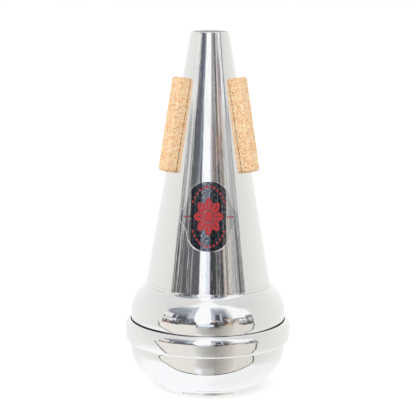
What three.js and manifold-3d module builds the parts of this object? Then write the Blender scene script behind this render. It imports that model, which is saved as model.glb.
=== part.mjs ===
// Trumpet straight mute, in millimetres, +Z up.
// The mute stands on its foot, with the open mouth at the top and the badge facing -Y.
// Two spun aluminium shells are crimped together at the collar: a cone with a round belly,
// and an end cap. Three cork pads and a clear film are glued to the cone.

import * as THREE from 'three';
import { mergeVertices } from 'three/addons/utils/BufferGeometryUtils.js';
import Module from 'manifold-3d';

const wasm = await Module();
wasm.setup();

const frontAzimuth = -90; // degrees from +X to the front of the mute

// Sheet metal and fits
const wall = 0.9; // aluminium sheet of both shells
const fitGap = 0.3; // running gap between nested or glued pieces
const bendRadius = 1; // outside radius of the small bends in the sheet

// Cone and belly
const overallHeight = 180; // resting face to mouth
const mouthRadius = 9.6; // outside, at the open end
const bellyRadius = 39.3; // outside, at the widest line of the belly
const bellyCurve = 16.6; // radius of the belly's side
const neckAngle = 56.5; // degrees up the belly's side where the cone would meet it
const neckFillet = 5; // hollow radius between cone and belly

// Collar
const bowlDepth = 24; // resting face to the collar's lower edge
const collarBand = 6.3; // straight height of the collar, from its lower edge
const collarCrown = 4.7; // radius that the collar's top is turned in with
const skirtStep = 1.8; // how far the skirt of the cone stands out past the belly
const lipGap = 0.2; // how far the turned-in lip stays clear of the belly
const bellyLift = 3; // widest line of the belly above the height the crown would reach

// Bowl and foot
const ledgeStep = 2.8; // collar to bowl, the ledge that the skirt sits on
const ledgeFillet = 0.6; // hollow radius under the collar
const bowlBand = 2.8; // straight height of the bowl under the collar
const footRadius = 24.8;
const footHeight = 2.2;
const footLand = 1.6; // width of the flat ring that the mute stands on
const recessWallRun = 1; // how far the recess wall leans in
const recessDepth = 1.4;
const recessDome = 0.6; // rise of the recess towards its centre

// Cork pads
const padWidth = 8.5;
const padLength = 47;
const padThickness = 5.3; // along the pad's middle
const padCorner = 1.4; // corner radius of the pad's outline
const padEdge = 0.6; // rounding along the edges of the outer face
const padDrop = 45.8; // middle of the pad below the mouth
const padDepthBelow = 4; // how far the uncut block reaches into the cone
const padSpreadAngle = 60; // degrees from the front to the pad on each side of it

// Badge film
const filmHalfWidth = 15; // measured around the cone
const filmHalfHeight = 17.1; // measured along the cone's side
const filmThickness = 0.2;
const filmRiseShare = 0.67; // its middle, on the way from the neck to the foot of the pads

// Smoothness
const turnSegments = 48;
const bellySteps = 9;
const bowlSteps = 9;
const crownSteps = 4;
const bendSteps = 3;
const cornerSteps = 3;
const filmRings = 5;
const filmSegments = 40;

// Sizes that follow from the ones above
const skirtRadius = bellyRadius + skirtStep;
const collarRadius = skirtRadius + fitGap + wall;
const crownCentre = new THREE.Vector2(collarRadius - collarCrown, bowlDepth + collarBand);
const bellyCentre = new THREE.Vector2(
  bellyRadius - bellyCurve,
  crownCentre.y + collarCrown + bellyLift,
);
const bowlRadius = collarRadius - ledgeStep;
const neckPoint = onCircle(bellyCentre, bellyCurve, neckAngle);
const mouthPoint = new THREE.Vector2(mouthRadius, overallHeight);
const coneSlope = Math.atan2(neckPoint.x - mouthPoint.x, mouthPoint.y - neckPoint.y);
const coneNormal = new THREE.Vector2(Math.cos(coneSlope), Math.sin(coneSlope));
const padHeight = overallHeight - padDrop;
const padFoot = padHeight - padLength / 2;
const filmHeight = neckPoint.y + filmRiseShare * (padFoot - neckPoint.y);
const padAzimuths = {
  left: frontAzimuth - padSpreadAngle,
  right: frontAzimuth + padSpreadAngle,
  back: frontAzimuth + 180,
};

const aluminium = new THREE.MeshStandardMaterial({ color: 0xdfe0e2, roughness: 0.12, metalness: 1 });
const cork = new THREE.MeshStandardMaterial({ color: 0xe6b585, roughness: 0.85, metalness: 0 });
const film = new THREE.MeshStandardMaterial({ color: 0x9c2f37, roughness: 0.15, metalness: 0 });

function onCircle(centre, radius, degrees) {
  const angle = THREE.MathUtils.degToRad(degrees);
  const x = centre.x + radius * Math.cos(angle);
  return new THREE.Vector2(x, centre.y + radius * Math.sin(angle));
}

// Points along an arc, both ends included; x is the radius from the axis and y the height.
function arc(centre, radius, fromDegrees, toDegrees, steps) {
  const points = [];
  for (let i = 0; i <= steps; i += 1) {
    const degrees = fromDegrees + ((toDegrees - fromDegrees) * i) / steps;
    points.push(onCircle(centre, radius, degrees));
  }
  return points;
}

function degreesAround(centre, point) {
  return THREE.MathUtils.radToDeg(Math.atan2(point.y - centre.y, point.x - centre.x));
}

// The crossing of two circles on the right-hand side of the line from the first centre to the second.
function circlesMeet(centreA, radiusA, centreB, radiusB) {
  const between = centreB.clone().sub(centreA);
  const distance = between.length();
  const along = (distance ** 2 + radiusA ** 2 - radiusB ** 2) / (2 * distance);
  const across = Math.sqrt(radiusA ** 2 - along ** 2);
  const direction = between.divideScalar(distance);
  const side = new THREE.Vector2(direction.y, -direction.x);
  return centreA.clone().addScaledVector(direction, along).addScaledVector(side, across);
}

// The same line moved to its right-hand side by the sheet's thickness, with mitred corners.
function offsetLine(line, distance) {
  const normals = line.slice(1).map((point, i) => {
    const direction = point.clone().sub(line[i]).normalize();
    return new THREE.Vector2(direction.y, -direction.x);
  });
  return line.map((point, i) => {
    const before = normals[Math.max(i - 1, 0)];
    const after = normals[Math.min(i, normals.length - 1)];
    const mitre = before.clone().add(after);
    return point.clone().addScaledVector(mitre, (2 * distance) / mitre.lengthSq());
  });
}

// Turns a closed profile about the upright axis.
function turned(profile, segments) {
  const geometry = new THREE.LatheGeometry(profile, segments);
  geometry.rotateX(Math.PI / 2);
  return geometry;
}

// The outside of the cone shell from the mouth down to the skirt's lower edge.
function coneLine() {
  const filletDistance = mouthPoint.dot(coneNormal) + neckFillet - bellyCentre.dot(coneNormal);
  const filletSpan = Math.sqrt((bellyCurve + neckFillet) ** 2 - filletDistance ** 2);
  const upTheCone = new THREE.Vector2(-coneNormal.y, coneNormal.x);
  const filletCentre = bellyCentre
    .clone()
    .addScaledVector(coneNormal, filletDistance)
    .addScaledVector(upTheCone, filletSpan);
  const bellyTop = degreesAround(bellyCentre, filletCentre);
  const coneSide = THREE.MathUtils.radToDeg(coneSlope);
  const neck = arc(filletCentre, neckFillet, coneSide - 180, bellyTop - 180, bendSteps + 1);

  const shoulderRadius = collarCrown - wall - fitGap;
  const tuck = circlesMeet(crownCentre, shoulderRadius, bellyCentre, bellyCurve);
  const bellyFoot = degreesAround(bellyCentre, tuck);
  const belly = arc(bellyCentre, bellyCurve, bellyTop, bellyFoot, bellySteps);
  const shoulder = arc(
    crownCentre,
    shoulderRadius,
    degreesAround(crownCentre, tuck),
    0,
    crownSteps,
  );
  const skirtEdge = new THREE.Vector2(skirtRadius, bowlDepth + wall + fitGap);
  return [mouthPoint, ...neck, ...belly.slice(1), ...shoulder.slice(1), skirtEdge];
}

function makeBodyCone() {
  const outside = coneLine();
  const inside = offsetLine(outside, wall);
  return turned([...outside, ...inside.reverse(), outside[0]].reverse(), turnSegments);
}

// The outside of the end cap from the turned-in lip down to the middle of the recess.
function capLine() {
  const lipReach = (bellyRadius + lipGap - crownCentre.x) / (collarCrown - wall);
  const lipAngle = THREE.MathUtils.radToDeg(Math.acos(lipReach));
  const crown = arc(crownCentre, collarCrown, lipAngle, 0, crownSteps);

  const edgeCentre = new THREE.Vector2(collarRadius - bendRadius, bowlDepth + bendRadius);
  const edge = arc(edgeCentre, bendRadius, 0, -90, bendSteps);
  const ledgeCentre = new THREE.Vector2(bowlRadius + ledgeFillet, bowlDepth - ledgeFillet);
  const ledge = arc(ledgeCentre, ledgeFillet, 90, 180, bendSteps);

  const bowlTop = bowlDepth - bowlBand;
  const bowlRun = bowlRadius - footRadius;
  const bowlDrop = bowlTop - footHeight;
  const bowlCurve = (bowlRun ** 2 + bowlDrop ** 2) / (2 * bowlRun);
  const bowlCentre = new THREE.Vector2(bowlRadius - bowlCurve, bowlTop);
  const footTop = new THREE.Vector2(footRadius, footHeight);
  const bowl = arc(bowlCentre, bowlCurve, 0, degreesAround(bowlCentre, footTop), bowlSteps);

  const footCentre = new THREE.Vector2(footRadius - bendRadius, bendRadius);
  const foot = arc(footCentre, bendRadius, 0, -90, bendSteps);
  const landEdge = new THREE.Vector2(footCentre.x - footLand, 0);
  const recessEdge = new THREE.Vector2(landEdge.x - recessWallRun, recessDepth);
  const recessMiddle = new THREE.Vector2(0, recessDepth + recessDome);
  return [...crown, ...edge, ...ledge, ...bowl, ...foot, landEdge, recessEdge, recessMiddle];
}

function makeEndCap() {
  const outside = capLine();
  const inside = offsetLine(outside, wall);
  inside[inside.length - 1].x = 0;
  return turned([...inside.reverse(), ...outside].reverse(), turnSegments);
}

// A solid that fills the cone and stands proud of its surface by the given distance.
function coneFilling(proud) {
  const top = mouthPoint.clone().addScaledVector(coneNormal, proud);
  const foot = neckPoint.clone().addScaledVector(coneNormal, proud);
  const profile = [new THREE.Vector2(0, top.y), top, foot, new THREE.Vector2(0, foot.y)];
  return toSolid(turned(profile.reverse(), turnSegments));
}

function toSolid(geometry) {
  const bare = geometry.clone();
  bare.deleteAttribute('normal');
  bare.deleteAttribute('uv');
  const merged = mergeVertices(bare);
  const vertProperties = new Float32Array(merged.attributes.position.array);
  const triVerts = new Uint32Array(merged.index.array);
  return new wasm.Manifold(new wasm.Mesh({ numProp: 3, vertProperties, triVerts }));
}

function toGeometry(solid) {
  const mesh = solid.getMesh();
  const geometry = new THREE.BufferGeometry();
  geometry.setAttribute('position', new THREE.BufferAttribute(mesh.vertProperties, mesh.numProp));
  geometry.setIndex(new THREE.BufferAttribute(mesh.triVerts, 1));
  geometry.computeVertexNormals();
  return geometry;
}

// Distance of the cone's outside from the axis at a height.
function coneRadiusAt(height) {
  return mouthRadius + (overallHeight - height) * Math.tan(coneSlope);
}

// The uncut pad block, lying along the +X side of the cone with its outer face flat.
function padBlock() {
  const halfWidth = padWidth / 2 - padEdge;
  const halfLength = padLength / 2 - padEdge;
  const corner = padCorner - padEdge;
  const outline = new THREE.Shape();
  outline.absarc(halfWidth - corner, halfLength - corner, corner, 0, Math.PI / 2);
  outline.absarc(corner - halfWidth, halfLength - corner, corner, Math.PI / 2, Math.PI);
  outline.absarc(corner - halfWidth, corner - halfLength, corner, Math.PI, 1.5 * Math.PI);
  outline.absarc(halfWidth - corner, corner - halfLength, corner, 1.5 * Math.PI, 2 * Math.PI);
  const geometry = new THREE.ExtrudeGeometry(outline, {
    depth: padThickness + fitGap + padDepthBelow - 2 * padEdge,
    curveSegments: cornerSteps,
    bevelEnabled: true,
    bevelSize: padEdge,
    bevelThickness: padEdge,
    bevelSegments: 2,
  });
  geometry.translate(0, 0, padEdge - padDepthBelow);
  const across = new THREE.Vector3(0, 1, 0);
  const outwards = new THREE.Vector3(coneNormal.x, 0, coneNormal.y);
  const upwards = new THREE.Vector3(-coneNormal.y, 0, coneNormal.x);
  const place = new THREE.Matrix4().makeBasis(across, upwards, outwards);
  place.setPosition(coneRadiusAt(padHeight), 0, padHeight);
  geometry.applyMatrix4(place);
  return toSolid(geometry);
}

// A pad is hollow underneath to fit the cone, and flat outside.
function makePad() {
  return toGeometry(padBlock().subtract(coneFilling(fitGap)));
}

// A thin flat oval wrapped on the +X side of the cone without stretching it.
function makeBadgeFilm() {
  const profile = [];
  for (let i = 0; i <= filmRings; i += 1) {
    profile.push(new THREE.Vector2((filmHalfHeight * i) / filmRings, 0));
  }
  for (let i = filmRings; i >= 0; i -= 1) {
    profile.push(new THREE.Vector2((filmHalfHeight * i) / filmRings, filmThickness));
  }
  const geometry = new THREE.LatheGeometry(profile, filmSegments);
  const position = geometry.attributes.position;
  const apexHeight = overallHeight + mouthRadius / Math.tan(coneSlope);
  const filmSlant = (apexHeight - filmHeight) / Math.cos(coneSlope);
  for (let i = 0; i < position.count; i += 1) {
    const across = (position.getX(i) * filmHalfWidth) / filmHalfHeight;
    const down = filmSlant + position.getZ(i);
    const slant = Math.hypot(across, down);
    const turn = Math.atan2(across, down) / Math.sin(coneSlope);
    const proud = fitGap + position.getY(i);
    const radius = slant * Math.sin(coneSlope) + proud * Math.cos(coneSlope);
    const height = apexHeight - slant * Math.cos(coneSlope) + proud * Math.sin(coneSlope);
    position.setXYZ(i, radius * Math.cos(turn), radius * Math.sin(turn), height);
  }
  geometry.computeVertexNormals();
  return geometry;
}

function named(name, geometry, material) {
  const mesh = new THREE.Mesh(geometry, material);
  mesh.name = name;
  return mesh;
}

const mute = new THREE.Group();
mute.add(named('body_cone', makeBodyCone(), aluminium));
mute.add(named('end_cap', makeEndCap(), aluminium));

const padGeometry = makePad();
for (const [side, azimuth] of Object.entries(padAzimuths)) {
  const pad = named(`cork_${side}`, padGeometry, cork);
  pad.rotation.z = THREE.MathUtils.degToRad(azimuth);
  mute.add(pad);
}

const badge = named('badge_film', makeBadgeFilm(), film);
badge.rotation.z = THREE.MathUtils.degToRad(frontAzimuth);
mute.add(badge);

export default mute;
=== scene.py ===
"""Trumpet straight mute: two spun aluminium shells, cork pads and a clear film with a print."""

import math

import bmesh
import bpy
from mathutils import Matrix, Vector, noise


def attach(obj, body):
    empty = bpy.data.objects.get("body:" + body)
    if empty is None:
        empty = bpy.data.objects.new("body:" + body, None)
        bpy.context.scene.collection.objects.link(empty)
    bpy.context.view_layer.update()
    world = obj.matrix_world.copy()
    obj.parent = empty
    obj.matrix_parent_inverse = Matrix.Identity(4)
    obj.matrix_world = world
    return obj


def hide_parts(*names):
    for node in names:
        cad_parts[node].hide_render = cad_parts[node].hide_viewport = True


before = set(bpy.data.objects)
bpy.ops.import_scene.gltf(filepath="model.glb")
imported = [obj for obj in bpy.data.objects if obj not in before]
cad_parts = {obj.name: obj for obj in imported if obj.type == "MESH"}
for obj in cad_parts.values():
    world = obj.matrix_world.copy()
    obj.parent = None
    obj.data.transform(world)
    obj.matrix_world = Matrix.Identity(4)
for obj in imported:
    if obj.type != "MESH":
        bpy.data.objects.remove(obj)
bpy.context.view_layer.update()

MM = 0.001

# Metal sheet and fits, in millimetres like all sizes below
SHEET = 0.9
FIT_GAP = 0.3
RIM_ROUND = 0.4
CORNER_LINE = 0.15

# Cone and belly
HEIGHT = 180.0
MOUTH_RADIUS = 9.6
BELLY_RADIUS = 39.3
BELLY_CURVE = 16.6
NECK_ANGLE = 56.5
NECK_FILLET = 5.0
FILLET_LINE = 0.5

# Collar
BOWL_DEPTH = 24.0
COLLAR_BAND = 6.3
COLLAR_CROWN = 4.7
SKIRT_STEP = 1.8
SKIRT_SHORT_DEGREES = 1.0
LIP_DEGREES = 68.0
BELLY_LIFT = 3.0
BARREL = 38.0
EDGE_BEND = 1.3

# Bowl and foot
LEDGE_STEP = 2.8
LEDGE_FILLET = 0.6
BOWL_BAND = 2.8
FOOT_RADIUS = 24.8
FOOT_HEIGHT = 2.2
FOOT_TAPER = 0.5
FOOT_UPRIGHT = 1.2
FOOT_LEAN = 0.1
FOOT_BEND = 0.35
FOOT_EDGE = 1.0
FOOT_LAND = 1.6
RECESS_RUN = 1.0
RECESS_DEPTH = 1.4
RECESS_DOME = 0.6
DOME_LINE = 0.25
DOME_SLOPE = 0.03

# Cork pads
PAD_WIDTH = 8.5
PAD_LENGTH = 47.0
PAD_THICKNESS = 5.3
PAD_CORNER = 1.6
PAD_EDGE = 0.9
PAD_FOOT_EDGE = 0.15
PAD_CLEARANCE = 0.02
PAD_DROP = 45.8
PAD_SPREAD = 60.0
PAD_GRID = (24, 92, 10)
PAD_GRAIN = 0.09
PAD_GRAINS_PER_MM = 1.4

# Film, a full oval with a small wing on each side
FILM_HALF_WIDTH = 11.5
FILM_HALF_HEIGHT = 17.1
WING_REACH = 3.4
WING_SPAN = 4.7
FILM_RISE_SHARE = 0.67
FILM_CLEARANCE = 0.04
FILM_THICKNESS = 0.12
FILM_STEPS = 144
FILM_UV_SPAN = 40.0

# Print on the film: the smoky panel, the rosette, the two arcs of beads and the wings' dots
PANEL_HALF_WIDTH = 8.7
ROSETTE_RADIUS = 8.0
ROSETTE_PETALS = 8
ROSETTE_WAVE = 1.2
ROSETTE_SQUASH = 0.78
ARC_INNER = 14.1
ARC_OUTER = 15.3
ARC_SQUASH = 0.6
ARC_BEADS = 34
ARC_FROM = 5.6
DOTS_FROM = 9.4
DOTS_TO = 13.0
DOTS_TURN = 5.2
PRINT_EDGE = 0.3

# Finishes: how fine the metal's marks are round the mute, and the cork's grain per metre
BRUSHED_FINENESS = 48
SCRATCH_FINENESS = 110
SMUDGE_FINENESS = 7
GRANULES_PER_METRE = 1500.0
CRUMBS_PER_METRE = 1900.0
EMBERS_PER_METRE = 420.0
DRIFTS_PER_METRE = 220.0

# Shared by several pieces, in degrees and steps
FRONT = -90.0
TURN_STEPS = 224
SHARP_DEGREES = 48.0

# How bright the metal is, and the tent for matt surfaces
METAL_TONE = 0.96
LIGHT_LEVEL = 0.86

# The tent, in degrees: how far a straight shelf drops from the camera to either side, the
# angles that the colours of the opening's depth and of the paper span, and the opening's sides
LEVEL_DROP = 5.2
DEPTH_SPAN = 60.0
PAPER_SPAN = 144.0
OPENING_LEFT = -70.3
OPENING_RIGHT = 71.0

# The opening's upper edge and the paper's near edge, as rise and fall for each step ahead
OPENING_RISE = 1.75
OPENING_BEND = 0.0105
PAPER_FALL = 1.35

# Floor, in millimetres, and the lamp, in metres and watts
FLOOR_HALF_SIZE = 4000.0
FLOOR_GLOW = 0.36
LAMP_SIZE = 1.2
LAMP_POWER = 6.0
LAMP_PLACE = (-0.6, -1.2, 1.3)
LAMP_TARGET = (0.0, 0.0, 0.09)

# Camera, in millimetres and degrees
CAMERA_LENS = 130.3
CAMERA_SENSOR = 36.0
CAMERA_REACH = 760.0
CAMERA_RISE = 10.5
CAMERA_ROLL = 0.45
CAMERA_TARGET = (-0.3, 0.0, 91.0)

# Places that follow from the sizes
SKIRT_RADIUS = BELLY_RADIUS + SKIRT_STEP
COLLAR_RADIUS = SKIRT_RADIUS + FIT_GAP + SHEET
CROWN_CENTRE = (COLLAR_RADIUS - COLLAR_CROWN, BOWL_DEPTH + COLLAR_BAND)
BELLY_CENTRE = (BELLY_RADIUS - BELLY_CURVE, CROWN_CENTRE[1] + COLLAR_CROWN + BELLY_LIFT)
BOWL_RADIUS = COLLAR_RADIUS - LEDGE_STEP
BARREL_CENTRE = (COLLAR_RADIUS - BARREL, CROWN_CENTRE[1])
BARREL_TURN = math.degrees(math.asin((COLLAR_BAND - EDGE_BEND) / (BARREL - EDGE_BEND)))
SKIRT_END = SKIRT_SHORT_DEGREES - BARREL_TURN
NECK_RADIUS = BELLY_CENTRE[0] + BELLY_CURVE * math.cos(math.radians(NECK_ANGLE))
NECK_HEIGHT = BELLY_CENTRE[1] + BELLY_CURVE * math.sin(math.radians(NECK_ANGLE))
CONE_SLOPE = math.atan2(NECK_RADIUS - MOUTH_RADIUS, HEIGHT - NECK_HEIGHT)
PAD_HEIGHT = HEIGHT - PAD_DROP
FILM_HEIGHT = NECK_HEIGHT + FILM_RISE_SHARE * (PAD_HEIGHT - PAD_LENGTH / 2 - NECK_HEIGHT)


# Turned shells

def on_circle(centre, radius, degrees):
    angle = math.radians(degrees)
    return centre[0] + radius * math.cos(angle), centre[1] + radius * math.sin(angle)


def degrees_around(centre, point):
    return math.degrees(math.atan2(point[1] - centre[1], point[0] - centre[0]))


def circles_meet(centre_a, radius_a, centre_b, radius_b):
    """The crossing of two circles on the right-hand side of the line between their centres."""
    between = Vector(centre_b) - Vector(centre_a)
    distance = between.length
    along = (distance ** 2 + radius_a ** 2 - radius_b ** 2) / (2 * distance)
    across = math.sqrt(radius_a ** 2 - along ** 2)
    direction = between / distance
    side = Vector((direction.y, -direction.x))
    return Vector(centre_a) + along * direction + across * side


def cone_radius(height):
    return MOUTH_RADIUS + (HEIGHT - height) * math.tan(CONE_SLOPE)


class Section:
    """Draws the cut edge of a turned shell: radius along X, height along Z, in millimetres."""

    def __init__(self, radius, height):
        self.mesh = bmesh.new()
        self.tip = self.mesh.verts.new((radius, 0, height))

    def line(self, radius, height, steps=1):
        """Draws straight on to this radius and height."""
        stride = (Vector((radius, 0, height)) - self.tip.co) / steps
        for _ in range(steps):
            added = bmesh.ops.extrude_vert_indiv(self.mesh, verts=[self.tip])
            self.tip = added["verts"][0]
            bmesh.ops.translate(self.mesh, verts=[self.tip], vec=stride)

    def arc(self, centre, to_degrees, steps):
        """Bends on from where the pen is, the short way round the centre."""
        here = degrees_around(centre, (self.tip.co.x, self.tip.co.z))
        turn = (to_degrees - here + 180) % 360 - 180
        added = bmesh.ops.spin(
            self.mesh,
            geom=[self.tip],
            cent=(centre[0], 0, centre[1]),
            axis=(0, -1, 0),
            angle=math.radians(turn),
            steps=steps,
        )
        self.tip = added["geom_last"][0]

    def turned(self, name):
        """Turns the section once round the mute's axis."""
        bmesh.ops.spin(
            self.mesh,
            geom=self.mesh.verts[:] + self.mesh.edges[:],
            cent=(0, 0, 0),
            axis=(0, 0, 1),
            angle=2 * math.pi,
            steps=TURN_STEPS,
            use_merge=True,
        )
        bmesh.ops.remove_doubles(self.mesh, verts=self.mesh.verts, dist=0.0005)
        bmesh.ops.dissolve_degenerate(self.mesh, edges=self.mesh.edges, dist=0.0001)
        return finished(self.mesh, name)


def finished(mesh, name):
    """Scales a mesh in millimetres to metres and makes it an object, smooth but for its corners."""
    bmesh.ops.recalc_face_normals(mesh, faces=mesh.faces)
    bmesh.ops.scale(mesh, vec=(MM, MM, MM), verts=mesh.verts)
    for face in mesh.faces:
        face.smooth = True
    for edge in mesh.edges:
        edge.smooth = edge.calc_face_angle(0) < math.radians(SHARP_DEGREES)
    data = bpy.data.meshes.new(name)
    mesh.to_mesh(data)
    mesh.free()
    piece = bpy.data.objects.new(name, data)
    bpy.context.scene.collection.objects.link(piece)
    return piece


def spun_cone():
    """The outside from the mouth down to the skirt, then the inside back up."""
    normal = Vector((math.cos(CONE_SLOPE), math.sin(CONE_SLOPE)))
    mouth = Vector((MOUTH_RADIUS, HEIGHT))
    belly_centre = Vector(BELLY_CENTRE)
    reach = mouth.dot(normal) + NECK_FILLET - belly_centre.dot(normal)
    climb = math.sqrt((BELLY_CURVE + NECK_FILLET) ** 2 - reach ** 2)
    fillet_centre = belly_centre + reach * normal + climb * Vector((-normal.y, normal.x))
    belly_top = degrees_around(belly_centre, fillet_centre)
    slope = math.degrees(CONE_SLOPE)

    shoulder = COLLAR_CROWN - SHEET - FIT_GAP
    tuck = circles_meet(CROWN_CENTRE, shoulder, BELLY_CENTRE, BELLY_CURVE)
    belly_foot = degrees_around(BELLY_CENTRE, tuck)
    neck_top = on_circle(fillet_centre, NECK_FILLET, slope - 180)
    inner_neck_top = on_circle(fillet_centre, NECK_FILLET + SHEET, slope - 180)
    inner_mouth = mouth - SHEET * normal
    along = Vector((normal.y, -normal.x))

    pen = Section(*(mouth + RIM_ROUND * along))
    pen.line(*(mouth + 2 * RIM_ROUND * along))
    pen.line(*(Vector(neck_top) - FILLET_LINE * along), steps=24)
    pen.line(*neck_top)
    pen.arc(fillet_centre, belly_top - 180, 14)
    pen.arc(BELLY_CENTRE, belly_foot, 56)
    pen.arc(CROWN_CENTRE, 0, 12)
    pen.arc(BARREL_CENTRE, SKIRT_END, 4)
    pen.line(*on_circle(BARREL_CENTRE, BARREL - 2 * SHEET - FIT_GAP, SKIRT_END))
    pen.arc(BARREL_CENTRE, 0, 4)
    inner_tuck = circles_meet(CROWN_CENTRE, shoulder - SHEET, BELLY_CENTRE, BELLY_CURVE - SHEET)
    pen.arc(CROWN_CENTRE, degrees_around(CROWN_CENTRE, inner_tuck), 6)
    pen.arc(BELLY_CENTRE, belly_top, 28)
    pen.arc(fillet_centre, slope - 180, 7)
    pen.line(*(Vector(inner_neck_top) - FILLET_LINE * along))
    pen.line(*(inner_mouth + 2 * RIM_ROUND * along), steps=12)
    pen.line(*(inner_mouth + RIM_ROUND * along))
    pen.arc(inner_mouth + RIM_ROUND * (along + normal), 90 + slope, 4)
    pen.line(*(mouth - RIM_ROUND * normal), steps=2)
    pen.arc(mouth + RIM_ROUND * (along - normal), slope, 4)
    return pen.turned("spun_cone")


def spun_cap():
    """The outside from the turned-in lip down to the middle of the recess, then the inside."""
    lip = LIP_DEGREES
    edge_centre = on_circle(BARREL_CENTRE, BARREL - EDGE_BEND, -BARREL_TURN)
    ledge_centre = (BOWL_RADIUS + LEDGE_FILLET, BOWL_DEPTH - LEDGE_FILLET)
    bowl_top = BOWL_DEPTH - BOWL_BAND
    run, drop = BOWL_RADIUS - FOOT_RADIUS - FOOT_TAPER, bowl_top - FOOT_HEIGHT
    bowl_curve = (run ** 2 + drop ** 2) / (2 * run)
    bowl_centre = (BOWL_RADIUS - bowl_curve, bowl_top)
    bowl_foot = degrees_around(bowl_centre, (FOOT_RADIUS + FOOT_TAPER, FOOT_HEIGHT))
    foot_centre = (FOOT_RADIUS - FOOT_BEND, FOOT_BEND)
    land_edge = FOOT_RADIUS - FOOT_EDGE - FOOT_LAND
    recess_edge = land_edge - RECESS_RUN
    recess_top = RECESS_DEPTH + RECESS_DOME
    corner_rise = CORNER_LINE * RECESS_DEPTH / RECESS_RUN

    outer = COLLAR_CROWN - RIM_ROUND
    inner = COLLAR_CROWN - SHEET + RIM_ROUND
    back = math.degrees(RIM_ROUND / outer)
    pen = Section(*on_circle(CROWN_CENTRE, COLLAR_CROWN, lip - back))
    pen.arc(CROWN_CENTRE, 0, 18)
    pen.arc(BARREL_CENTRE, -BARREL_TURN, 12)
    pen.arc(edge_centre, -90, 10)
    pen.line(BOWL_RADIUS + LEDGE_FILLET, BOWL_DEPTH, steps=2)
    pen.arc(ledge_centre, 180, 6)
    pen.line(BOWL_RADIUS, bowl_top + 2 * CORNER_LINE, steps=3)
    pen.line(BOWL_RADIUS, bowl_top)
    pen.arc(bowl_centre, bowl_foot, 44)
    pen.line(FOOT_RADIUS + FOOT_LEAN, FOOT_UPRIGHT, steps=2)
    pen.line(FOOT_RADIUS, FOOT_BEND, steps=2)
    pen.arc(foot_centre, -90, 6)
    pen.line(land_edge + CORNER_LINE, 0, steps=2)
    pen.line(land_edge, 0)
    pen.line(land_edge - CORNER_LINE, corner_rise)
    pen.line(recess_edge + CORNER_LINE, RECESS_DEPTH - corner_rise, steps=2)
    pen.line(recess_edge, RECESS_DEPTH)
    pen.line(recess_edge - DOME_LINE, RECESS_DEPTH + DOME_SLOPE * DOME_LINE)
    pen.line(0, recess_top, steps=12)
    pen.line(0, recess_top + SHEET)
    pen.line(recess_edge - 0.5, RECESS_DEPTH + SHEET, steps=8)
    pen.line(land_edge + 0.3, SHEET, steps=2)
    pen.line(FOOT_RADIUS - SHEET, SHEET + 0.1, steps=2)
    inner_foot = on_circle(bowl_centre, bowl_curve - SHEET, bowl_foot)
    pen.line(*inner_foot, steps=2)
    pen.arc(bowl_centre, 0, 22)
    pen.line(BOWL_RADIUS - SHEET, BOWL_DEPTH - LEDGE_FILLET, steps=2)
    pen.arc(ledge_centre, 90, 4)
    pen.line(edge_centre[0], BOWL_DEPTH + SHEET)
    pen.arc(edge_centre, -BARREL_TURN, 4)
    pen.arc(BARREL_CENTRE, 0, 5)
    pen.arc(CROWN_CENTRE, lip - back, 9)
    pen.arc(on_circle(CROWN_CENTRE, inner, lip - back), lip + 90, 4)
    pen.line(*on_circle(CROWN_CENTRE, outer, lip))
    pen.arc(on_circle(CROWN_CENTRE, outer, lip - back), lip - back, 4)
    return pen.turned("spun_cap")


# Cork pads

def above_cone(across, along, proud):
    """How far a point that stands proud of the cone lies from the plane that touches it."""
    radius = cone_radius(PAD_HEIGHT) - along * math.sin(CONE_SLOPE)
    skin = radius + proud / math.cos(CONE_SLOPE)
    lean = math.sin(CONE_SLOPE) * math.tan(CONE_SLOPE)
    out = proud
    for _ in range(5):
        out = (math.sqrt((skin - out * lean) ** 2 - across ** 2) - radius) / math.cos(CONE_SLOPE)
    return out


def gridded_block(columns, rows, layers):
    """A box from -1 to 1, cut into an even grid on every side."""
    mesh = bmesh.new()
    bmesh.ops.create_cube(mesh, size=2)
    for axis, cuts in enumerate((columns, rows, layers)):
        edges = [e for e in mesh.edges if abs((e.verts[0].co - e.verts[1].co)[axis]) > 1e-6]
        bmesh.ops.subdivide_edges(mesh, edges=edges, cuts=cuts - 1, use_grid_fill=True)
    return mesh


def closer_at_rim(share):
    """Moves the grid's lines, from -1 to 1, closer together at both ends."""
    return share * (1.35 - 0.35 * share * share)


def rounding(inset, radius):
    """How far a rounded rim drops below its flat face at this distance from the outline."""
    return radius - math.sqrt(radius ** 2 - min(radius, max(0.0, radius - inset)) ** 2)


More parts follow.
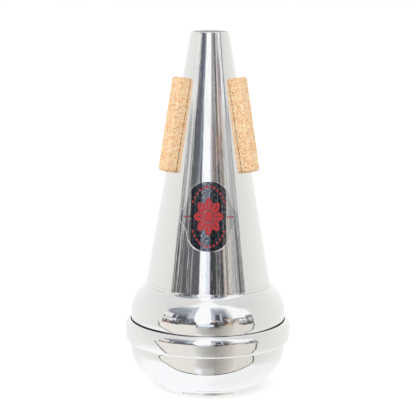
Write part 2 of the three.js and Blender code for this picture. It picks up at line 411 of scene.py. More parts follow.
def cork_pad(side, azimuth):
    """A sanded block of cork, hollow underneath to fit the cone."""
    mesh = gridded_block(*PAD_GRID)
    middle = Vector((cone_radius(PAD_HEIGHT), 0, PAD_HEIGHT))
    across = Vector((0, 1, 0))
    along = Vector((-math.sin(CONE_SLOPE), 0, math.cos(CONE_SLOPE)))
    outward = Vector((math.cos(CONE_SLOPE), 0, math.sin(CONE_SLOPE)))
    turn = Matrix.Rotation(math.radians(azimuth), 3, "Z")
    half = (PAD_WIDTH / 2, PAD_LENGTH / 2)
    for vert in mesh.verts:
        place = [closer_at_rim(vert.co.x) * half[0], closer_at_rim(vert.co.y) * half[1]]
        core = [max(-h + PAD_CORNER, min(h - PAD_CORNER, p)) for p, h in zip(place, half)]
        stray = Vector([p - c for p, c in zip(place, core)])
        if stray.length > 0:
            stray *= max(abs(stray.x), abs(stray.y)) / stray.length
        inset = PAD_CORNER - stray.length
        spot = Vector((place[0], place[1], azimuth + 2 * vert.co.z))
        grain = PAD_GRAIN * (0.5 + 0.5 * noise.noise(spot * PAD_GRAINS_PER_MM))
        if inset < PAD_EDGE:
            stray *= 1 - grain / PAD_CORNER
        u, v = core[0] + stray.x, core[1] + stray.y
        low = above_cone(u, v, PAD_CLEARANCE) + rounding(inset, PAD_FOOT_EDGE)
        high = PAD_THICKNESS + FIT_GAP - rounding(inset, PAD_EDGE) - grain
        w = low + (high - low) * (vert.co.z + 1) / 2
        vert.co = turn @ (middle + u * across + v * along + w * outward)
    pad = finished(mesh, f"sanded_pad_{side}")
    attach(pad, "root")
    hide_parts(f"cork_{side}")
    return pad


# Film

def film_half_width(along):
    """Half of the film's width at a height above its middle."""
    oval = FILM_HALF_WIDTH * max(0.0, 1 - abs(along / FILM_HALF_HEIGHT) ** 3) ** (1 / 3)
    return oval + WING_REACH * math.exp(-abs(along / WING_SPAN) ** 3)


def clear_film():
    """A thin flat film, wrapped on the front of the cone without stretching it."""
    pen = Section(0, 0)
    pen.line(1, 0, steps=14)
    mesh = pen.mesh
    bmesh.ops.spin(
        mesh,
        geom=mesh.verts[:] + mesh.edges[:],
        cent=(0, 0, 0),
        axis=(0, 0, 1),
        angle=2 * math.pi,
        steps=FILM_STEPS,
        use_merge=True,
    )
    bmesh.ops.remove_doubles(mesh, verts=mesh.verts, dist=1e-5)
    bmesh.ops.dissolve_degenerate(mesh, edges=mesh.edges, dist=1e-6)
    for vert in mesh.verts:
        along = vert.co.y * FILM_HALF_HEIGHT
        chord = math.sqrt(max(1e-9, 1 - vert.co.y ** 2))
        vert.co = (vert.co.x / chord * film_half_width(along), along, 0)
    grown = bmesh.ops.extrude_face_region(mesh, geom=mesh.faces[:])
    raised = [g for g in grown["geom"] if isinstance(g, bmesh.types.BMVert)]
    bmesh.ops.translate(mesh, verts=raised, vec=(0, 0, 1))
    layer = mesh.loops.layers.uv.new("film")
    for face in mesh.faces:
        for loop in face.loops:
            spot = loop.vert.co / FILM_UV_SPAN
            loop[layer].uv = (spot.x + 0.5, spot.y + 0.5)
    apex = HEIGHT + MOUTH_RADIUS / math.tan(CONE_SLOPE)
    slant_middle = (apex - FILM_HEIGHT) / math.cos(CONE_SLOPE)
    for vert in mesh.verts:
        down = slant_middle - vert.co.y
        slant = math.hypot(vert.co.x, down)
        turn = math.atan2(vert.co.x, down) / math.sin(CONE_SLOPE)
        proud = FILM_CLEARANCE + FILM_THICKNESS * vert.co.z
        radius = slant * math.sin(CONE_SLOPE) + proud * math.cos(CONE_SLOPE)
        height = apex - slant * math.cos(CONE_SLOPE) + proud * math.sin(CONE_SLOPE)
        angle = math.radians(FRONT) + turn
        vert.co = (radius * math.cos(angle), radius * math.sin(angle), height)
    return finished(mesh, "clear_film")


# Shader nodes

class Field:
    """A shader socket. Arithmetic on it adds the Math nodes that work it out."""

    def __init__(self, shader, socket):
        self.shader = shader
        self.socket = socket

    def math(self, operation, *others):
        values = dict(enumerate((self,) + others))
        return self.shader.node("ShaderNodeMath", {"operation": operation}, values)

    def __add__(self, other):
        return self.math("ADD", other)

    def __sub__(self, other):
        return self.math("SUBTRACT", other)

    def __rsub__(self, other):
        return self.shader.node("ShaderNodeMath", {"operation": "SUBTRACT"}, {0: other, 1: self})

    def __mul__(self, other):
        return self.math("MULTIPLY", other)

    def __truediv__(self, other):
        return self.math("DIVIDE", other)

    def __neg__(self):
        return self * -1

    __radd__ = __add__
    __rmul__ = __mul__

    def absolute(self):
        return self.math("ABSOLUTE")

    def rise(self, low, high, start=0.0, end=1.0):
        """Start below low, end above high, smooth between."""
        return self.shader.node(
            "ShaderNodeMapRange",
            {"interpolation_type": "SMOOTHSTEP"},
            {"Value": self, "From Min": low, "From Max": high, "To Min": start, "To Max": end},
        )

    def fall(self, low, high):
        """1 below low, 0 above high, smooth between."""
        return self.rise(low, high, 1.0, 0.0)

    def between(self, low, high, soft):
        """1 between low and high, with edges as wide as soft."""
        middle, half = (low + high) / 2, (high - low) / 2
        return (self - middle).absolute().fall(half - soft / 2, half + soft / 2)

    def length_with(self, other):
        return (self * self + other * other).math("SQRT")


class Shader:
    """The node tree of a material or of the world."""

    def __init__(self, owner):
        owner.use_nodes = True
        self.tree = owner.node_tree
        self.tree.nodes.clear()

    def node(self, kind, settings=None, sockets=None, output=0):
        made = self.tree.nodes.new(kind)
        for name, setting in (settings or {}).items():
            if name == "stops":
                self.set_stops(made.color_ramp, setting)
            else:
                setattr(made, name, setting)
        for name, value in (sockets or {}).items():
            if isinstance(value, Field):
                self.tree.links.new(value.socket, made.inputs[name])
            else:
                made.inputs[name].default_value = value
        return Field(self, made.outputs[output]) if made.outputs else made

    def set_stops(self, ramp, stops):
        while len(ramp.elements) > 1:
            ramp.elements.remove(ramp.elements[-1])
        for i, (position, colour) in enumerate(stops):
            stop = ramp.elements[0] if i == 0 else ramp.elements.new(position)
            stop.position = position
            stop.color = colour

    def axes(self, source):
        """A vector of the Texture Coordinate node, and its three coordinates."""
        vector = self.node("ShaderNodeTexCoord", output=source)
        return vector, [self.node("ShaderNodeSeparateXYZ", None, {0: vector}, i) for i in range(3)]

    def vector(self, x, y, z):
        return self.node("ShaderNodeCombineXYZ", None, {0: x, 1: y, 2: z})

    def mix(self, factor, first, second):
        """Mixes two colours, which are sockets 6 and 7 of the Mix node, into its socket 2."""
        settings = {"data_type": "RGBA", "clamp_factor": True}
        return self.node("ShaderNodeMix", settings, {0: factor, 6: first, 7: second}, 2)

    def noise(self, vector, scale, detail=2.0, roughness=0.5):
        sockets = {"Vector": vector, "Scale": scale, "Detail": detail, "Roughness": roughness}
        return self.node("ShaderNodeTexNoise", None, sockets)


def tone(red, green, blue):
    """A colour on the scale of 0 to 255 as a shader's linear colour."""
    def linear(value):
        value /= 255
        return value / 12.92 if value <= 0.04045 else ((value + 0.055) / 1.055) ** 2.4
    return linear(red), linear(green), linear(blue), 1.0


def grey(value):
    return tone(value, value, value)


# Finishes

def polished_metal():
    """Spun and polished aluminium, bright outside and satin inside."""
    material = bpy.data.materials.new("polished_aluminium")
    s = Shader(material)
    _, (x, y, z) = s.axes("Object")
    reach = x.length_with(y)
    radius = reach / MM
    height = z / MM
    right, ahead = x / reach, y / reach

    # Lengthwise polishing marks, turning lines, a few thin scratches and wiped smudges
    brushed_way = s.vector(right * BRUSHED_FINENESS, ahead * BRUSHED_FINENESS, height * 0.045)
    brushed = s.noise(brushed_way, 1.0, 3.0, 0.65)
    rings = s.noise(s.vector(0.0, radius * 0.3, height), 3.0, 2.0)
    slant = height * 0.12
    scratch_x = right * SCRATCH_FINENESS + slant
    scratch_y = ahead * SCRATCH_FINENESS - slant
    scratch = s.noise(s.vector(scratch_x, scratch_y, height * 0.035), 1.0, 1.0).rise(0.69, 0.74)
    smudge_x = right * SMUDGE_FINENESS + height * 0.06
    smudge = s.noise(s.vector(smudge_x, ahead * SMUDGE_FINENESS, height * 0.05), 1.0, 4.0, 0.6)

    # Where the shells are satin inside, the painted shade in the crevice along the collar's lip,
    # which is thicker at the sides, and two rings of painted shade at the neck
    skin = MOUTH_RADIUS + (HEIGHT - height) * math.tan(CONE_SLOPE)
    inside = (skin - radius).rise(0.45, 0.75) * height.rise(NECK_HEIGHT + 3, NECK_HEIGHT + 5)
    from_crown = (radius - CROWN_CENTRE[0]).length_with(height - CROWN_CENTRE[1])
    to_side = (-right).rise(0.3, 0.62) + right.rise(0.5, 0.95)
    # Painted shade: a dark line in the crevice under the collar's lip, where shade falls
    crevice_shade = (from_crown - to_side * 0.55).fall(COLLAR_CROWN - 0.25, COLLAR_CROWN + 0.2)
    crevice_shade = crevice_shade * (radius - CROWN_CENTRE[0]).fall(1.55, 1.8) * height.between(29, 36, 0.6)
    crevice_shade = crevice_shade * (0.5 + 0.48 * to_side)
    # Painted shade: two darker rings at the neck, broken up by the smudges
    neck_shade_rings = height.between(NECK_HEIGHT + 0.6, NECK_HEIGHT + 1.2, 0.5)
    neck_shade_rings = neck_shade_rings + height.between(NECK_HEIGHT + 2.3, NECK_HEIGHT + 2.9, 0.5) * 0.7
    neck_shade_rings = neck_shade_rings * smudge.rise(0.3, 0.6)

    shade = (METAL_TONE, METAL_TONE, METAL_TONE * 1.005, 1)
    shade = s.mix(brushed.rise(0.55, 0.75) * 0.08, shade, (0.6, 0.61, 0.63, 1))
    # Painted shade at the neck and in the crevice
    shade = s.mix(neck_shade_rings * 0.35, shade, (0.55, 0.52, 0.48, 1))
    shade = s.mix(crevice_shade, shade, (0.04, 0.04, 0.042, 1))
    rough = 0.015 + 0.05 * smudge.rise(0.5, 0.75) + 0.14 * scratch + 0.35 * inside + 0.3 * crevice_shade
    relief = brushed + 0.3 * rings + 0.8 * scratch
    bump = s.node("ShaderNodeBump", None, {"Strength": 1.0, "Distance": 0.000008, "Height": relief})
    body = s.node(
        "ShaderNodeBsdfPrincipled",
        None,
        {
            "Base Color": shade,
            "Metallic": 1.0 - 0.5 * inside,
            "Roughness": rough,
            "Anisotropic": 0.5,
            "Anisotropic Rotation": 0.25,
            "Normal": bump,
        },
    )
    s.node("ShaderNodeOutputMaterial", None, {"Surface": body})
    return material


def sanded_cork():
    """Pressed cork granules with dark specks, a dashed dark line along the metal, and painted shade
    on the lower end, which faces down.
    """
    material = bpy.data.materials.new("sanded_cork")
    s = Shader(material)
    place, (x, y, z) = s.axes("Object")
    radius = x.length_with(y) / MM
    height = z / MM

    # Granules, crumbs and slow drift of colour, then dark specks and reddish patches
    cells = {"Vector": place, "Scale": GRANULES_PER_METRE}
    cell = s.node("ShaderNodeTexVoronoi", {"feature": "F1"}, cells, "Color")
    granule = s.node("ShaderNodeSeparateColor", None, {0: cell})
    crumbs = s.noise(place, CRUMBS_PER_METRE, 3.0, 0.7)
    drift = s.noise(place, DRIFTS_PER_METRE, 2.0)
    shade = granule * 0.6 + crumbs * 1.2 + drift * 0.3 - 0.55
    shade = s.node(
        "ShaderNodeValToRGB",
        {"stops": [
            (0.0, tone(200, 134, 92)),
            (0.22, tone(236, 180, 136)),
            (0.45, tone(255, 211, 164)),
            (0.68, tone(255, 228, 186)),
            (1.0, tone(255, 243, 216)),
        ]},
        {0: shade},
    )
    speck = s.noise(place, GRANULES_PER_METRE, 2.0, 0.8).rise(0.64, 0.7)
    shade = s.mix(speck * 0.75, shade, tone(150, 92, 62))
    ember = s.noise(place, EMBERS_PER_METRE, 2.0).rise(0.58, 0.7)
    shade = s.mix(ember * 0.3, shade, tone(240, 176, 128))

    # A dashed dark line along the metal, and painted shade on the lower end, which faces down
    slope_cos, slope_sin = math.cos(CONE_SLOPE), math.sin(CONE_SLOPE)
    above_skin = (radius - MOUTH_RADIUS - (HEIGHT - height) * math.tan(CONE_SLOPE)) * slope_cos
    along = (height - PAD_HEIGHT) * slope_cos - (radius - cone_radius(PAD_HEIGHT)) * slope_sin
    gaps = s.noise(s.vector(x / MM, y / MM, height), 0.6, 4.0, 0.75)
    # A dashed darker line where the cork meets the metal
    dark_line_at_metal = above_skin.fall(0.12, 0.36) * gaps.rise(0.42, 0.58, 0.1, 0.78)
    shade = s.mix(dark_line_at_metal, shade, tone(118, 88, 72))
    # Painted shade on the lower end of the pad, which faces down
    lower_end_shade = along.fall(0.3 - PAD_LENGTH / 2, 1.5 - PAD_LENGTH / 2) * crumbs.rise(0.3, 0.65)
    shade = s.mix(lower_end_shade * 0.6, shade, tone(168, 112, 76))

    relief = s.noise(place, GRANULES_PER_METRE, 3.0) + granule * 0.4
    bump = s.node("ShaderNodeBump", None, {"Strength": 0.5, "Distance": 0.0001, "Height": relief})
    body = s.node(
        "ShaderNodeBsdfPrincipled",
        None,
        {"Base Color": shade, "Roughness": 0.85, "Specular IOR Level": 0.25, "Normal": bump},
    )
    s.node("ShaderNodeOutputMaterial", None, {"Surface": body})
    return material


def printed_film():
    """Clear film with a smoky panel, a red rosette between arcs of dots, and a painted highlight on
    its cut edge.
    """
    material = bpy.data.materials.new("printed_film")
    s = Shader(material)
    uv = s.node("ShaderNodeTexCoord", output="UV")
    across, along = (s.node("ShaderNodeSeparateXYZ", None, {0: uv}, i) for i in (0, 1))
    across = (across - 0.5) * FILM_UV_SPAN
    along = (along - 0.5) * FILM_UV_SPAN

    # Distance inside the oval, and inside the whole film
    squash = (along.absolute() / FILM_HALF_HEIGHT).math("POWER", 3.0)
    oval = (1 - squash).math("MAXIMUM", 0.0).math("POWER", 1 / 3) * FILM_HALF_WIDTH
    swell = (-(along.absolute() / WING_SPAN).math("POWER", 3.0)).math("EXPONENT") * WING_REACH
    slant = (squash * 1.1).math("MINIMUM", 0.75)
    depth = (oval - across.absolute()) * (1 - slant)
    edge = (depth + swell).fall(0.12, 0.42)
    panel = across.absolute().fall(PANEL_HALF_WIDTH - 0.15, PANEL_HALF_WIDTH + 0.15)
    panel = panel * depth.rise(0.3, 0.6)

    # Rosette of eight veined petals, arcs of dots above and below it, and three dots a wing
    wide = across / ROSETTE_SQUASH
    reach = wide.length_with(along)
    turn = along.math("ARCTAN2", wide)
    petal = (turn * ROSETTE_PETALS).math("COSINE")
    rosette = (reach - petal * ROSETTE_WAVE).fall(ROSETTE_RADIUS, ROSETTE_RADIUS + 0.2)
    vein = petal.rise(0.93, 0.99) * reach.between(4.4, 7.9, PRINT_EDGE)
    vein = vein + reach.between(2.8, 3.5, 0.2)
    vein = vein + petal.fall(-0.98, -0.88) * reach.between(4.2, 7, PRINT_EDGE)
    beads = along.math("ARCTAN2", across * 1.5) * ARC_BEADS
    border = (across / ARC_SQUASH).length_with(along).between(ARC_INNER, ARC_OUTER, PRINT_EDGE)
    border = border * beads.math("COSINE").rise(-0.2, 0.2)
    border = border * along.absolute().rise(ARC_FROM, ARC_FROM + PRINT_EDGE)
    side = across.absolute().between(DOTS_FROM, DOTS_TO, PRINT_EDGE)
    side = side * along.absolute().fall(0.35, 0.55)
    side = side * (across * DOTS_TURN).math("COSINE").rise(-0.1, 0.2)
    worn = s.noise(s.vector(across, along, 2.0), 2.2, 4.0, 0.75).fall(0.6, 0.68)
    red = (rosette - vein * 0.8 + border + side).math("MAXIMUM", 0.0).math("MINIMUM", 1.0) * worn

    # Grainy smoke, the print over it, and the edge, with a painted highlight towards the lower left
    grain = s.noise(s.vector(across * 1.3, along * 0.7, 0.0), 1.0, 4.0, 0.75)
    shade = s.mix(grain.rise(0.46, 0.6) * 0.75, (0.085, 0.1, 0.14, 1), (0.46, 0.47, 0.5, 1))
    shade = s.mix(red, shade, tone(184, 42, 48))
    # Painted highlight: the edge is pale grey and shows only towards the lower left
    shade = s.mix(edge, shade, grey(244))
    painted_edge_highlight = (across * -0.06 - along * 0.05).rise(-0.1, 0.7, 0.08, 0.95)
    flat = (1 - red - edge).math("MAXIMUM", 0.0)
    alpha = panel.math("MAXIMUM", red).math("MAXIMUM", edge * painted_edge_highlight).math("MAXIMUM", 0.07)
    body = s.node(
        "ShaderNodeBsdfPrincipled",
        None,
        {
            "Base Color": shade,
            "Metallic": flat,
            "Roughness": 0.4 - 0.32 * flat,
            "Alpha": alpha,
        },
    )
    s.node("ShaderNodeOutputMaterial", None, {"Surface": body})
    return material


def dress(piece, material):
    piece.data.materials.clear()
    piece.data.materials.append(material)


# Light tent, floor and camera

# Cards in the tent's front opening, as the metal sees them. Each has its left and right edge
# by azimuth, its lower and upper edge by level, the softness of both, and its colour.
# Azimuth is 0 at the camera and grows to the right. Level is the elevation in front of the
# mute, and drops a little to the sides, as a straight shelf does. All are in degrees.
# The edges and tones of the cards, and the stops of the ramps below, were written from
# tones read in the photo's reflections, by the direction that the metal mirrors.
CARDS = [
    ("dim card, far left", -72, -57, -8, 12.9, 2, 2, grey(104)),
    ("black card, left", -70, -50, 5, 9, 2, 2, grey(82)),
    ("black card, high left", -69, -50, 16.6, 19.5, 2, 1.5, grey(110)),
    ("grey card, left", -69, -46, 9.3, 13.2, 2, 2, grey(158)),
    ("light line, left", -58.5, -53.6, 8.4, 13.4, 2, 3, grey(218)),
    ("pale card, upper left", -74, -46.5, 12.8, 17, 2.5, 1.2, grey(234)),
    ("warm line, upper left", -57.5, -54.5, 14.6, 17, 1.5, 0.5, tone(226, 208, 198)),
    ("black gap", -53, -50.5, 3, 9.3, 1, 1, grey(80)),
    ("thin cream edge", -46, -43.6, 8.2, 13, 0.8, 1.5, tone(216, 206, 192)),
    ("thin grey edge", -37.5, -34.5, 4, 8, 2, 2, grey(120)),
    ("rosy slit", -41.5, -39.6, 6.6, 7.4, 0.8, 0.6, tone(196, 168, 176)),
    ("pale slit", -33, -30.6, 6.4, 7.6, 1, 0.8, tone(190, 196, 194)),
    ("cream card, high left", -75, -65, 23, 34, 3, 5, tone(246, 236, 224)),
    ("white card, high left", -68, -56, 19, 32, 2, 3, grey(230)),
    ("white slit, left", -49.4, -47.8, 10, 30, 0.8, 5, grey(220)),
    ("orange line", -69, -57, -2.5, 2.5, 2, 1.5, tone(236, 160, 124)),
    ("haze beside the strip", -31, -18, 20, 60, 8, 6, tone(190, 195, 204)),
    ("cool fringe", 3.5, 11, 9, 58, 3.5, 2.5, tone(182, 188, 200)),
    ("dark upright", 4.2, 17, -10, 9.4, 1.6, 2, grey(67)),
    ("dark upright, upper part", 10, 17.5, 9, 12.4, 2, 1, grey(98)),
    ("dark upright, hazy top", 10.5, 20.5, 12.3, 17, 2.5, 1, tone(133, 141, 153)),
    ("dark upright, far top", 13, 19, 17, 37, 2, 5, tone(76, 80, 90)),
    ("light edge of the upright", 16.6, 20.6, 12.6, 15, 1.5, 1, grey(186)),
    ("brown line", 9.8, 12.8, 10, 19, 1, 2, tone(186, 150, 124)),
    ("edge of the upright", 17, 19.4, 3, 12.3, 1.2, 1, tone(142, 139, 138)),
    ("dark gap", 19.8, 29.5, 3, 9.4, 1.6, 1.5, tone(82, 82, 86)),
    ("dark gap, middle", 21.5, 29, 9.2, 16.8, 1.6, 1.5, tone(92, 92, 96)),
    ("dark gap, upper part", 21, 29.5, 17, 25, 1.6, 3, tone(84, 84, 88)),
    ("white line", 19.8, 21.4, 15.8, 37, 0.8, 3, grey(222)),
    ("brown card", 21.5, 36.5, 11, 12.3, 1.6, 0.8, tone(168, 138, 118)),
    ("brown card, side", 29.5, 36.5, 3, 11.2, 1.6, 1, tone(136, 123, 113)),
    ("cream slip", 30.2, 33.2, 3, 8.6, 1.2, 1, tone(176, 158, 142)),
    ("cream card", 26, 36.5, 12.3, 13.4, 1.6, 0.6, tone(210, 193, 178)),
    ("cream card, top", 28.8, 36.5, 13.4, 14.7, 1.6, 0.6, tone(207, 200, 195)),
    ("tan card", 26, 40, 16.8, 20, 4, 2, tone(206, 174, 152)),
    ("tan card, low", 26, 36, -4, 3, 3, 2, tone(205, 172, 140)),
    ("pale card", 36.8, 46.5, -3, 11.4, 1.6, 1.5, tone(213, 207, 199)),
    ("rose card", 36.5, 47.5, 11.4, 13.6, 1.6, 1.2, tone(216, 200, 192)),
    ("pink card", 34.5, 42, 13.2, 14.9, 2, 0.5, tone(206, 182, 183)),
    ("white card, upper right", 30, 50, 14.9, 17, 3, 0.7, grey(214)),
    ("grey card, right", 46.5, 51, 3, 13, 1.6, 1.5, tone(192, 188, 185)),
    ("white upright, right", 48, 58.8, 12.6, 17, 2, 1, grey(255)),
    ("white upright, low", 49.6, 53.6, 9.6, 12.8, 1.4, 1.5, grey(219)),
    ("grey upright, right", 53.6, 57.2, 8, 12.6, 1.4, 1.5, grey(182)),
    ("lilac card, right", 51, 59, 3, 8.6, 2, 1.5, grey(170)),
    ("grey card, far right", 57.2, 62, 8.2, 12.8, 1.6, 1.5, grey(184)),
    ("dark card, far right", 59, 62.5, 3, 8.6, 1.6, 1.5, grey(132)),
    ("dim card, far right", 62.3, 73, -8, 8.8, 1.6, 2, grey(84)),
    ("dim card, upper part", 62, 68.6, 8.6, 12.9, 1.6, 1.5, grey(155)),
    ("far right, top", 60, 65.6, 12.9, 15.6, 1.6, 0.8, grey(136)),
    ("far right, pale top", 64, 72, 12.9, 16.4, 2, 0.8, grey(212)),
    ("white card, high right", 35, 75, 19.5, 63, 15, 4, grey(252)),
    ("dim card, high right", 59.5, 71, 16.4, 25, 2.5, 3, grey(138)),
]

# The strip light widens a little towards its top. The plain dark cards beside it are smooth.
STRIP = [
    ("plain card, left edge", -46.4, -38, 9.8, 13.2, 1.6, 1, grey(94)),
    ("plain card, middle", -39, -27, 10.2, 17, 4, 1.5, tone(98, 101, 110)),
    ("plain card, low", -31.5, -18, 5.4, 9, 4, 1.5, tone(94, 94, 98)),
    ("plain card, lit side", -25.5, -18, 10.5, 20, 4, 2, tone(128, 134, 149)),
    ("plain gap, right", 5, 15.5, 4, 8.8, 1.5, 1, grey(70)),
    ("strip light, foot", -16, 2.8, 0.4, 9.5, 2, 1, grey(255)),
    ("strip light, low end", -14, 8.5, -4.5, 3.2, 1.5, 1.5, tone(226, 229, 236)),
    ("strip light, middle", -17.6, 4.6, 8.8, 13, 2, 1.5, grey(255)),
    ("strip light, upper part", -19.6, 6.8, 12.6, 17.5, 2, 1.5, grey(255)),
    ("strip light, top", -20.5, 5.6, 17, 62, 3, 2, grey(255)),
    ("strip light, cool edge", -3.6, 2.4, -4, 8.4, 2.5, 1.5, tone(220, 227, 239)),
]

# How far up the paper shows, from left to right: two azimuths with their softness, and the
# elevations between which it ends.
PAPER_ENDS = [
    (-79, -42, 2, -3.8, -2.6),
    (-42, -16.5, 2, -0.8, 0.4),
    (-16.5, 15, 1, -9, -6),
    (15, 52, 2, -3.2, -1.8),
    (52, 74, 2, -6, -4.5),
]

# The white paper that the mute stands on runs out through the opening and turns cream.
PAPER = [
    (0.0, tone(231, 227, 219)),
    (0.36, tone(224, 221, 213)),
    (0.39, tone(206, 203, 197)),
    (0.42, tone(190, 187, 182)),
    (0.46, tone(174, 171, 167)),
    (0.5, tone(160, 157, 152)),
    (0.55, tone(144, 140, 134)),
    (0.59, tone(142, 137, 130)),
    (0.65, tone(160, 154, 145)),
    (0.735, tone(190, 184, 174)),
    (0.79, tone(213, 207, 197)),
    (1.0, tone(216, 211, 203)),
]

# What shows behind the cards, from level with the mute up to the span of the depth.
DEPTH = [
    (0.0, grey(96)),
    (0.12, tone(94, 96, 101)),
    (0.2, tone(97, 101, 110)),
    (0.27, tone(90, 92, 100)),
    (0.34, tone(80, 83, 92)),
    (0.42, tone(106, 109, 119)),
    (0.5, tone(121, 126, 137)),
    (0.6, tone(146, 151, 161)),
    (0.73, tone(146, 150, 160)),
    (0.84, tone(162, 165, 173)),
    (0.94, tone(199, 202, 208)),
    (1.0, tone(216, 219, 224)),
]

# The tent's wall from the back on the left, past the camera, to the back on the right.
TENT_WALL = [
    (0.0, grey(252)),
    (0.045, tone(243, 243, 243)),
    (0.125, tone(234, 234, 232)),
    (0.21, tone(229, 229, 226)),
    (0.3, tone(223, 223, 218)),
    (0.69, tone(216, 217, 212)),
    (0.76, tone(222, 223, 218)),
    (0.83, tone(228, 229, 224)),
    (0.89, tone(234, 235, 231)),
    (0.955, tone(244, 245, 243)),
    (1.0, grey(252)),
]

# The ceiling and the ground run round in the same order as the wall.
CEILING = [
    (0.0, tone(219, 218, 212)),
    (0.36, tone(219, 218, 214)),
    (0.43, grey(250)),
    (0.56, grey(250)),
    (0.62, tone(216, 216, 217)),
    (1.0, tone(218, 219, 214)),
]

GROUND = [
    (0.0, tone(247, 248, 250)),
    (0.45, tone(248, 249, 251)),
    (0.65, tone(238, 239, 238)),
    (0.8, tone(238, 239, 238)),
    (0.95, tone(242, 243, 245)),
    (1.0, tone(247, 248, 250)),
]


def through_metal(colour):
    """What the tent's colour must be for its reflection in the metal to have this colour."""
    return tuple(min(1.0, part / METAL_TONE) for part in colour[:3]) + (1.0,)


def light_tent():
    """A white tent, open towards the camera, with cards and a strip light in the opening."""
    world = bpy.data.worlds.new("light_tent")
    bpy.context.scene.world = world
    s = Shader(world)
    _, (x, y, z) = s.axes("Generated")
    azimuth = x.math("ARCTAN2", -y) * math.degrees(1)
    elevation = z.math("ARCSINE") * math.degrees(1)
    level = elevation + LEVEL_DROP * (1 - (azimuth * math.radians(1)).math("COSINE"))
    round_about = azimuth / 360 + 0.5

    def ramp(stops, along):
        """Colours as the metal shows them, from 0 to 1 along a value."""
        stops = [(position, through_metal(colour)) for position, colour in stops]
        return s.node("ShaderNodeValToRGB", {"stops": stops}, {0: along})

    def hang(cards, behind):
        """Hangs the cards one after another, each in front of all before it."""
        for _, left, right, low, high, soft_side, soft_level, colour in cards:
            mask = azimuth.between(left, right, soft_side) * level.between(low, high, soft_level)
            behind = s.mix(mask, behind, through_metal(colour))
        return behind

    # White walls and ceiling all round
    wall = s.mix(elevation.rise(10, 55) * 0.45, ramp(TENT_WALL, round_about), grey(208))
    wall = s.mix(elevation.rise(56, 66), wall, ramp(CEILING, round_about))
    wall = s.mix(elevation.rise(78, 88), wall, tone(240, 238, 242))
    ground_from = 27 - 5 * azimuth.between(-125, -55, 20)
    wall = s.mix((-elevation - ground_from).rise(-6, 7), wall, ramp(GROUND, round_about))

    # The front opening with its cards, thin upright lines that the cone shows, and the strip
    seen = hang(CARDS, ramp(DEPTH, elevation / DEPTH_SPAN))
    streak = s.noise(s.vector(azimuth * 0.55, level * 0.03, 0.0), 1.0, 2.0, 0.75)
    on_cone = level.between(5.2, 17, 2)
    seen = s.mix(streak.rise(0.54, 0.6) * (0.12 + 0.54 * on_cone), seen, grey(232))
    seen = s.mix(streak.fall(0.39, 0.46) * (0.2 + 0.6 * on_cone), seen, grey(30))
    seen = hang(STRIP, seen)

    # The opening's straight upper edge and its sides
    high_side = OPENING_RISE + OPENING_BEND * azimuth.absolute()
    ahead = (-y).math("MAXIMUM", 0.0001)
    upward = z / ahead
    above = (upward - high_side).fall(-0.04, 0.04)
    opening = azimuth.between(OPENING_LEFT, OPENING_RIGHT, 2) * above * elevation.rise(-9, -7)
    valance = azimuth.between(-42, 58, 16) * (upward - high_side).fall(0.5, 1.1)
    wall = s.mix(valance * elevation.rise(30, 45), wall, grey(252))
    tent = s.mix(opening, wall, seen)

    # The paper that runs out through the opening, with a ragged far edge
    ragged = s.noise(s.vector(azimuth * 0.35, 3.0, 0.0), 1.0, 3.0) * 5 - 2.5
    edge = elevation + ragged
    paper = sum(
        azimuth.between(left, right, soft) * edge.fall(low, high)
        for left, right, soft, low, high in PAPER_ENDS
    )
    cream = ramp(PAPER, azimuth / PAPER_SPAN + 0.5)
    shade = azimuth.between(1, 20, 8) * (-elevation).fall(5, 18)
    cream = s.mix(shade * 0.85, cream, tone(72, 68, 62))
    streaks = s.noise(s.vector(azimuth * 0.9, elevation * 0.3, 0.0), 1.0, 4.0, 0.6)
    cream = s.mix(streaks.rise(0.3, 0.7) * 0.22, cream, grey(255))
    cream = s.mix(streaks.fall(0.3, 0.5) * 0.18, cream, tone(150, 144, 136))
    gleam = azimuth.between(-20, -10, 4) * 0.8 + azimuth.between(-10, 12, 4) * 0.25
    cream = s.mix(gleam * (-elevation).rise(25, 38), cream, tone(250, 251, 253))
    below = upward + PAPER_FALL - 0.2 * (-azimuth).rise(50, 66)
    paper_edge = below.fall(0.05, 0.13)
    faint = azimuth.between(-20, 14, 10)
    cream = s.mix(paper_edge * (1 - 0.6 * faint), cream, tone(112, 112, 111))
    side_line = azimuth.between(-79, -75, 2) + azimuth.between(70.5, 74, 1.5)
    cream = s.mix(side_line * (-elevation).rise(-2, 8), cream, tone(98, 98, 97))
    on_paper = paper * azimuth.between(-77.5, 73, 1) * below.rise(-0.09, -0.04)
    tent = s.mix(on_paper, tent, cream)
    strip_foot = azimuth.between(-15.5, 3, 2) * elevation.between(-10, -4.5, 2)
    tent = s.mix(strip_foot, tent, tone(182, 188, 200))

    # Only reflections see the tent. The camera sees plain white, and so do matt surfaces,
    # at the tent's light level.
    to_camera = s.node("ShaderNodeLightPath", output="Is Camera Ray")
    glossy = s.node("ShaderNodeLightPath", output="Is Glossy Ray")
    colour = s.mix(glossy, (1, 1, 1, 1), tent)
    strength = LIGHT_LEVEL + (1 - LIGHT_LEVEL) * (to_camera + glossy)
    background = s.node("ShaderNodeBackground", None, {"Color": colour, "Strength": strength})
    s.node("ShaderNodeOutputWorld", None, {"Surface": background})


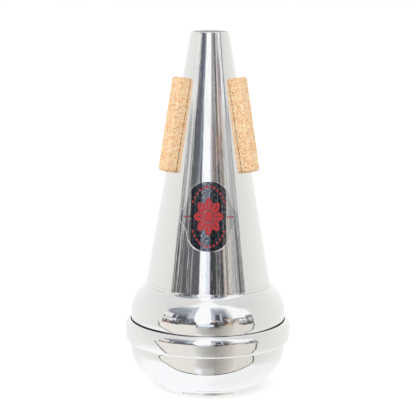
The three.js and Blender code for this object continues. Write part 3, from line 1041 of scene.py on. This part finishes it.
def floor():
    """A white floor, with a little glow for the camera alone, so that only the shadow shows."""
    mesh = bmesh.new()
    bmesh.ops.create_grid(mesh, x_segments=1, y_segments=1, size=FLOOR_HALF_SIZE)
    plane = finished(mesh, "floor")
    material = bpy.data.materials.new("white_floor")
    s = Shader(material)
    diffuse = s.node("ShaderNodeBsdfDiffuse", None, {0: grey(252)})
    glow = s.node("ShaderNodeEmission", None, {0: (1, 1, 1, 1), 1: FLOOR_GLOW})
    to_camera = s.node("ShaderNodeLightPath", output="Is Camera Ray")
    extra = s.node("ShaderNodeMixShader", None, {0: to_camera, 2: glow})
    surface = s.node("ShaderNodeAddShader", None, {0: diffuse, 1: extra})
    s.node("ShaderNodeOutputMaterial", None, {"Surface": surface})
    dress(plane, material)
    plane.visible_glossy = False


def soft_lamp():
    """A square soft box above, on the left and in front, that the metal doesn't mirror."""
    data = bpy.data.lights.new("soft_box", "AREA")
    data.shape = "RECTANGLE"
    data.size = LAMP_SIZE
    data.size_y = LAMP_SIZE
    data.energy = LAMP_POWER
    lamp = bpy.data.objects.new("soft_box", data)
    lamp.location = LAMP_PLACE
    aim = Vector(LAMP_TARGET) - lamp.location
    lamp.rotation_euler = aim.to_track_quat("-Z", "Y").to_euler()
    lamp.visible_glossy = False
    bpy.context.scene.collection.objects.link(lamp)


def camera():
    """The photograph's view: from the front, a little above, and turned a trifle."""
    data = bpy.data.cameras.new("camera")
    data.lens = CAMERA_LENS
    data.sensor_width = CAMERA_SENSOR
    data.clip_start = 0.01
    data.clip_end = 100
    eye = bpy.data.objects.new("camera", data)
    target = Vector(CAMERA_TARGET) * MM
    rise = math.radians(CAMERA_RISE)
    back = Vector((0, -math.cos(rise), math.sin(rise)))
    eye.location = target + CAMERA_REACH * MM * back
    look = (-back).to_track_quat("-Z", "Y")
    roll = Matrix.Rotation(math.radians(CAMERA_ROLL), 4, "Z").to_quaternion()
    eye.rotation_euler = (look @ roll).to_euler()
    bpy.context.scene.collection.objects.link(eye)
    bpy.context.scene.camera = eye


# The mute

camera()
light_tent()
floor()
soft_lamp()

metal = polished_metal()
for shell, node in ((spun_cone(), "body_cone"), (spun_cap(), "end_cap")):
    dress(shell, metal)
    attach(shell, "root")
    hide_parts(node)

cork = sanded_cork()
for side, turn in (("left", -PAD_SPREAD), ("right", PAD_SPREAD), ("back", 180)):
    dress(cork_pad(side, FRONT + turn), cork)

film = clear_film()
dress(film, printed_film())
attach(film, "root")
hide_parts("badge_film")

bpy.context.scene.view_settings.view_transform = "Standard"
